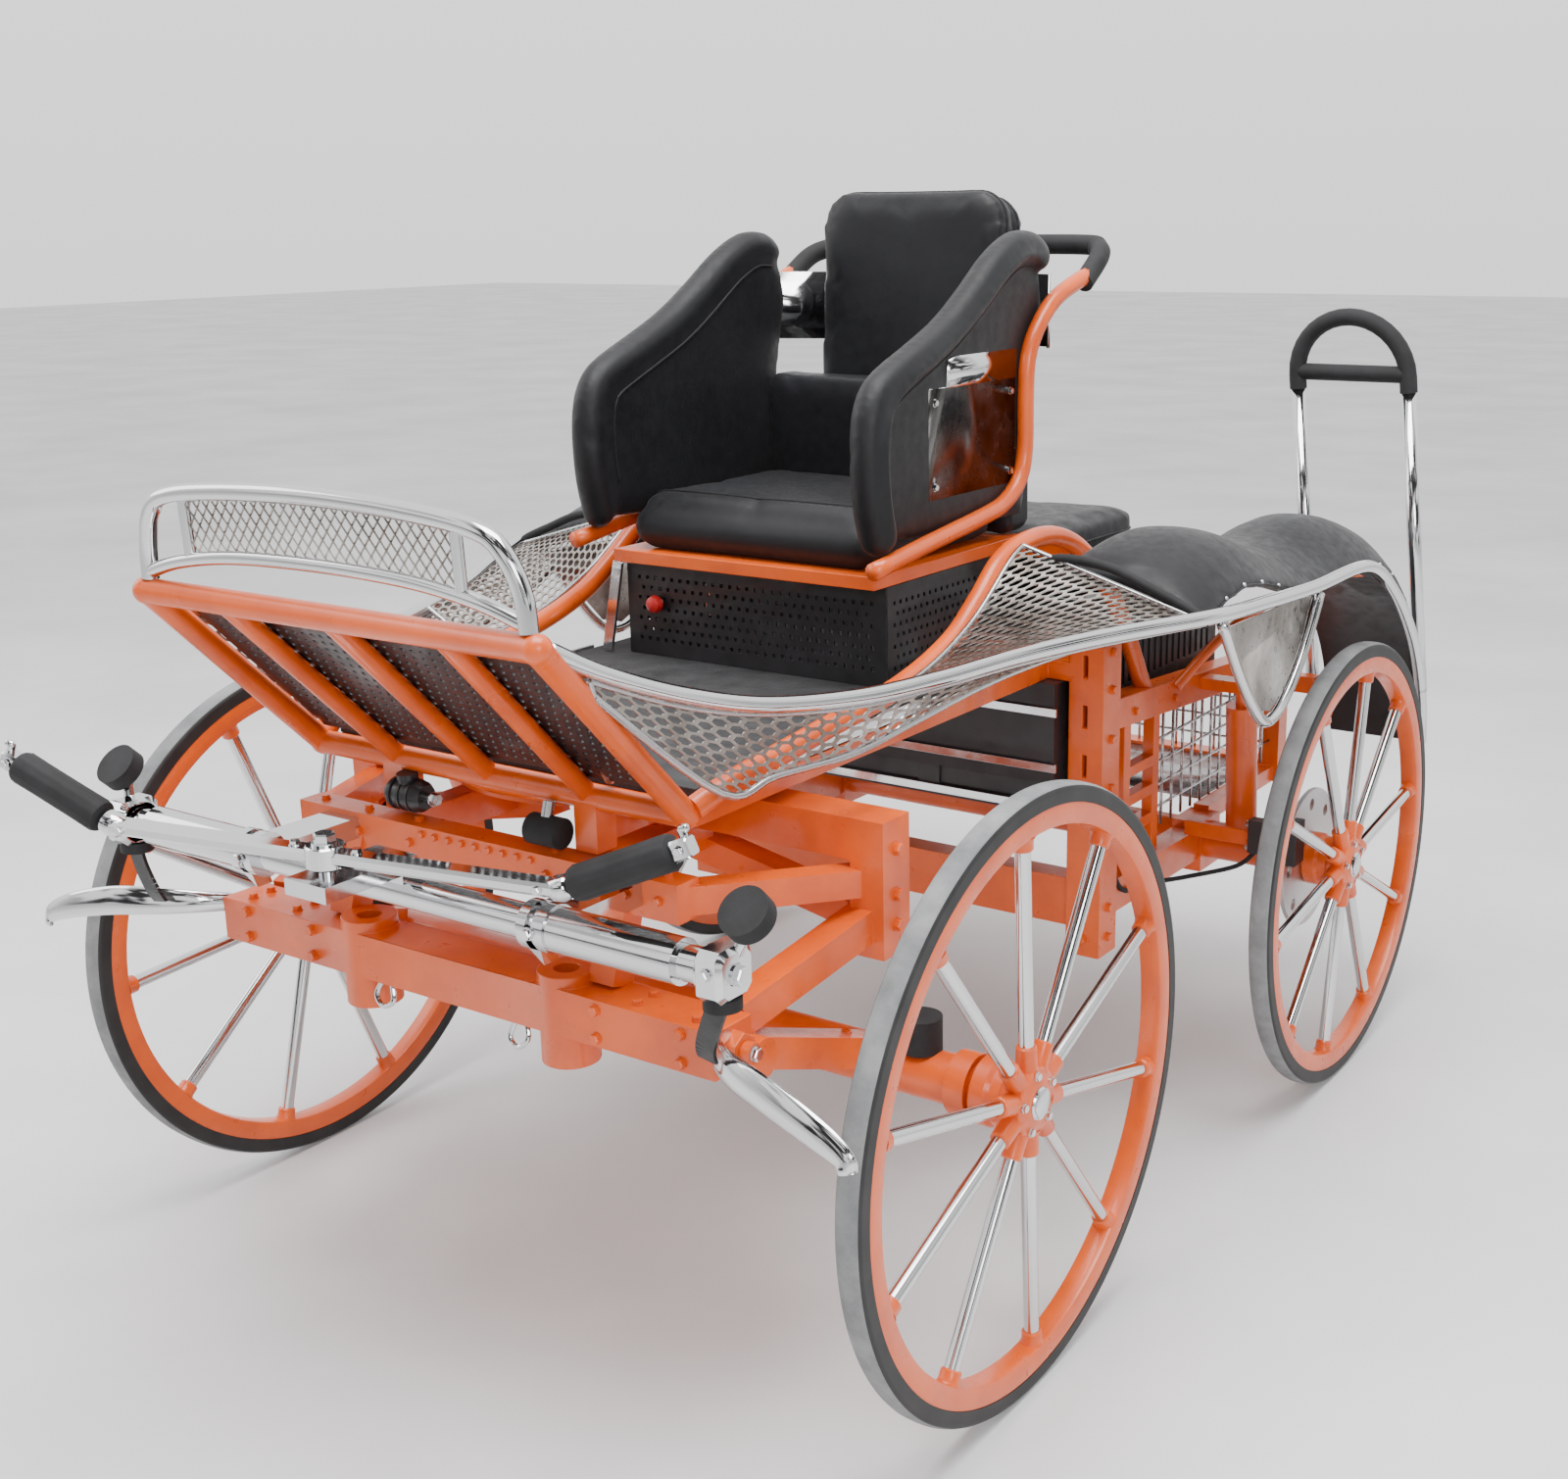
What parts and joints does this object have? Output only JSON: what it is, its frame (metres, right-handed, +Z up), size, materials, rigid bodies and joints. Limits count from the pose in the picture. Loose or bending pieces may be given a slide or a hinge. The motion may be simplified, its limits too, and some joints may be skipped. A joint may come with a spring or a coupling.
{
  "type": "horse drawn carriage",
  "caption": "Single-seat driving carriage with spoked wheels, steering front undercarriage, swingletree, mesh sides, bucket seat and groom's step.",
  "frame": {"origin": "on the ground, at the middle of the carriage's length and width", "axes": "+X to the carriage's left, -Y to its front, +Z up"},
  "size_m": [1.3722, 2.1214, 1.5002],
  "materials": {
    "orange_paint": "gloss",
    "chrome": "polished",
    "steel_mesh": "satin",
    "steel": "satin",
    "black_paint": "satin",
    "floor_mat": "matt",
    "black_leather": "satin",
    "black_foam": "matt",
    "tyre": "matt"
  },
  "bodies": {
    "carriage": {"chassis_frame": "orange_paint", "turntable_upper": "steel", "footboard_frame": "orange_paint", "footboard_panels": "black_paint", "dash_rail": "chrome", "dash_mesh": "steel_mesh", "floor_board": "floor_mat", "side_rail_left": "chrome", "side_rail_right": "chrome", "side_panel_left": "steel_mesh", "side_panel_right": "steel_mesh", "body_tube_left": "orange_paint", "body_tube_right": "orange_paint", "seat_riser": "black_paint", "seat_base": "orange_paint", "seat_cushion": "black_leather", "seat_back": "black_leather", "seat_wing_left": "black_leather", "seat_wing_right": "black_leather", "seat_plate_left": "chrome", "seat_plate_right": "chrome", "seat_rail_left": "orange_paint", "seat_rail_right": "orange_paint", "seat_grip": "black_foam", "storage_box": "black_paint", "trim_strips": "chrome", "rear_box": "black_paint", "rear_frame": "orange_paint", "rear_grid": "steel_mesh", "rear_cushion": "black_leather", "fender_left": "black_paint", "fender_right": "black_paint", "fender_pad_left": "black_leather", "fender_pad_right": "black_leather", "side_brace_left": "chrome", "side_brace_right": "chrome", "handle_left": "chrome", "handle_right": "chrome", "handle_grip_left": "black_foam", "handle_grip_right": "black_foam", "rear_axle": "orange_paint"},
    "undercarriage": {"front_axle": "orange_paint", "front_beam": "orange_paint", "fore_frame": "orange_paint", "turntable_lower": "orange_paint", "splinter_bar": "chrome", "rubber_stops": "black_foam", "wheel_guards": "chrome"},
    "swingletree": {"swingletree_bar": "chrome", "swingletree_rollers": "black_foam"},
    "front_left_wheel": {"wheel_front_left": "orange_paint", "tyre_front_left": "tyre"},
    "front_right_wheel": {"wheel_front_right": "orange_paint", "tyre_front_right": "tyre"},
    "rear_left_wheel": {"wheel_rear_left": "orange_paint", "tyre_rear_left": "tyre", "brake_disc_left": "steel"},
    "rear_right_wheel": {"wheel_rear_right": "orange_paint", "tyre_rear_right": "tyre", "brake_disc_right": "steel"}
  },
  "joints": [
    {"name": "steering", "type": "hinge", "parent": "carriage", "child": "undercarriage", "pos_m": [0, -0.45466, 0.7], "axis": [0, 0, 1], "range_deg": [-25, 25]},
    {"name": "front_left_spin", "type": "hinge", "parent": "undercarriage", "child": "front_left_wheel", "pos_m": [0.655, -0.45466, 0.4], "axis": [1, 0, 0], "continuous": true},
    {"name": "front_right_spin", "type": "hinge", "parent": "undercarriage", "child": "front_right_wheel", "pos_m": [-0.655, -0.45466, 0.4], "axis": [1, 0, 0], "continuous": true},
    {"name": "rear_left_spin", "type": "hinge", "parent": "carriage", "child": "rear_left_wheel", "pos_m": [0.655, 0.65534, 0.38], "axis": [1, 0, 0], "continuous": true},
    {"name": "rear_right_spin", "type": "hinge", "parent": "carriage", "child": "rear_right_wheel", "pos_m": [-0.655, 0.65534, 0.38], "axis": [1, 0, 0], "continuous": true},
    {"name": "swingletree_pivot", "type": "hinge", "parent": "undercarriage", "child": "swingletree", "pos_m": [0, -0.95466, 0.748], "axis": [0, 0, 1], "range_deg": [-35.7, 14.3]}
  ]
}
